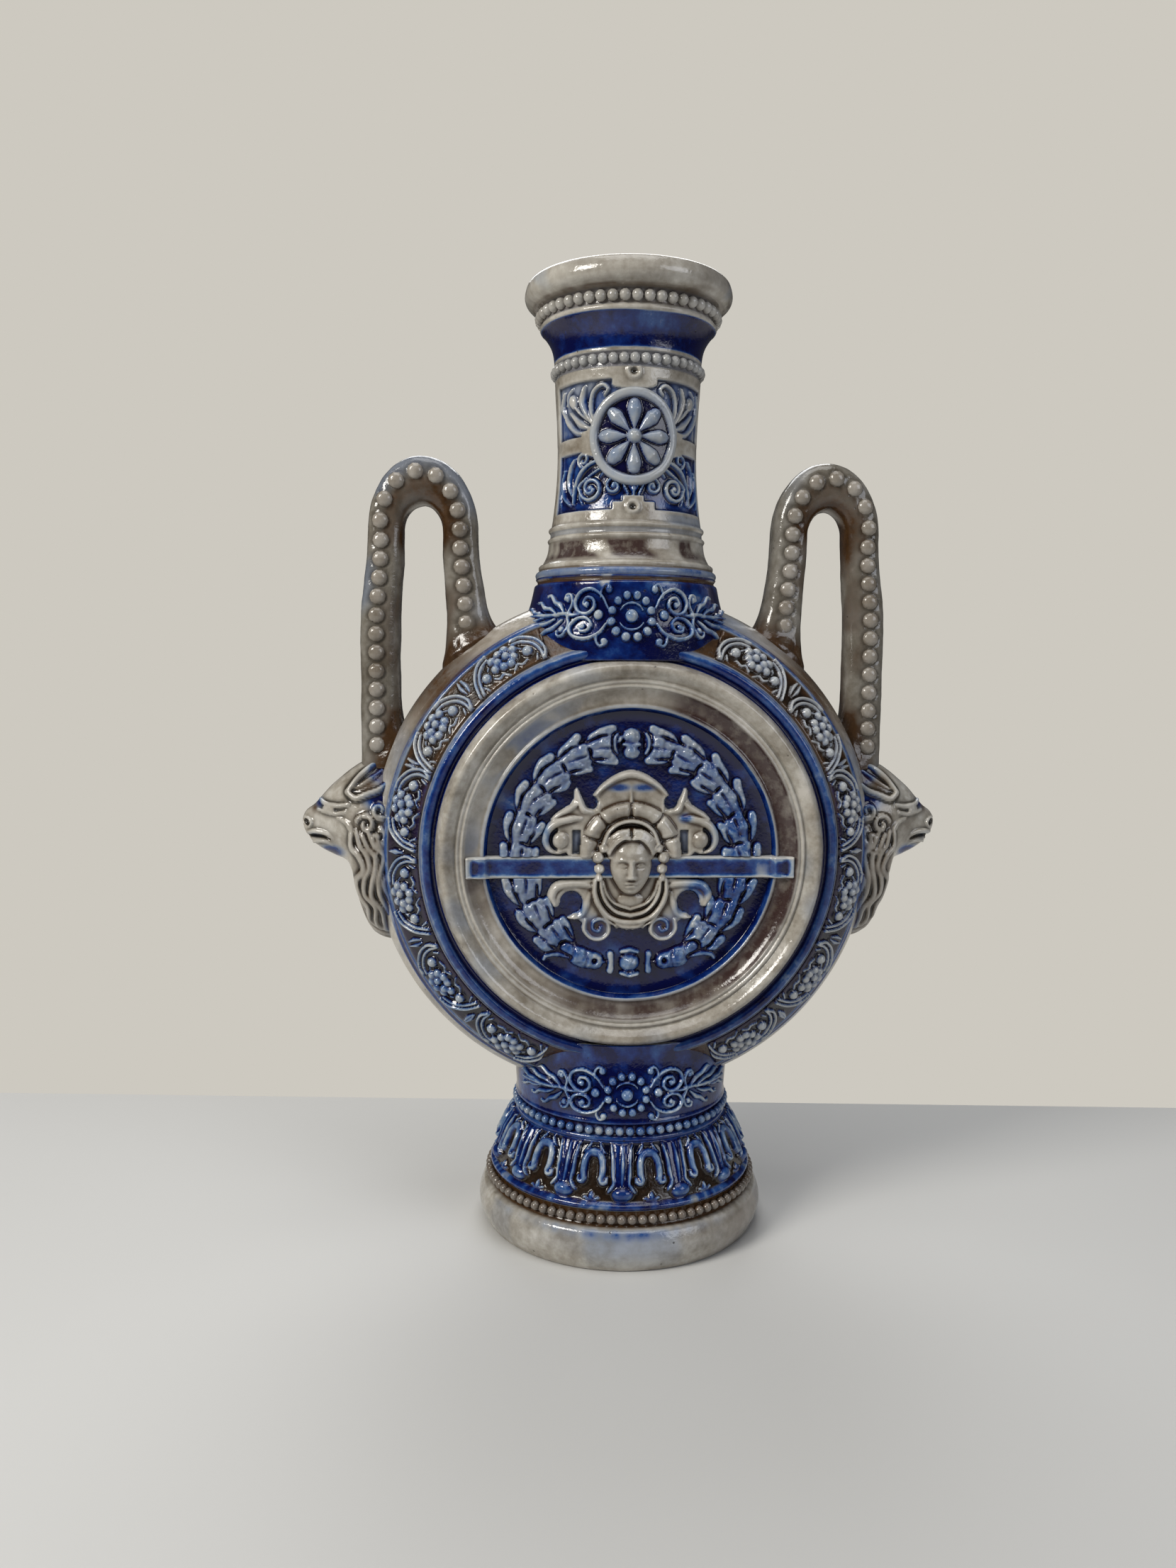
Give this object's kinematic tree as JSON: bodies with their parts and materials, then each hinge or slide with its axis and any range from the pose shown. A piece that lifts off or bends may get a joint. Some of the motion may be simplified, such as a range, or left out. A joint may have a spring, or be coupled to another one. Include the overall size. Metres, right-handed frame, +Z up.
{
  "type": "pilgrim bottle",
  "caption": "Flat round stoneware pilgrim bottle on a spreading foot, tall neck with rolled mouth, two tall loop handles rising from animal heads, blue and grey pressed relief.",
  "frame": {"origin": "centre of the foot's standing ring, on the table", "axes": "+Z up along the neck, -Y out of the front medallion, +X towards the right-hand handle"},
  "size_m": [0.1704, 0.0782, 0.2495],
  "materials": {
    "grey_salt_glaze": "grey stoneware under a thin glossy salt glaze with a fine orange peel",
    "cobalt_salt_glaze": "cobalt blue painted on stoneware under a glossy salt glaze, thin on the raised edges"
  },
  "bodies": {
    "root": {"foot": "grey_salt_glaze", "neck": "grey_salt_glaze", "mouth": "grey_salt_glaze", "body_front": "grey_salt_glaze", "body_back": "grey_salt_glaze", "front_mask": "grey_salt_glaze", "back_mask": "grey_salt_glaze", "front_rosette": "grey_salt_glaze", "back_rosette": "grey_salt_glaze", "left_handle": "grey_salt_glaze", "right_handle": "grey_salt_glaze", "left_ram_head": "grey_salt_glaze", "right_ram_head": "grey_salt_glaze", "foot_collar": "cobalt_salt_glaze", "shoulder": "cobalt_salt_glaze", "front_strap": "cobalt_salt_glaze", "back_strap": "cobalt_salt_glaze", "front_wreath_upper": "cobalt_salt_glaze", "front_wreath_lower": "cobalt_salt_glaze", "back_wreath_upper": "cobalt_salt_glaze", "back_wreath_lower": "cobalt_salt_glaze", "front_vine_left": "cobalt_salt_glaze", "front_vine_right": "cobalt_salt_glaze", "back_vine_left": "cobalt_salt_glaze", "back_vine_right": "cobalt_salt_glaze", "front_collar_scroll": "cobalt_salt_glaze", "back_collar_scroll": "cobalt_salt_glaze", "front_shoulder_scroll": "cobalt_salt_glaze", "back_shoulder_scroll": "cobalt_salt_glaze"}
  },
  "joints": []
}
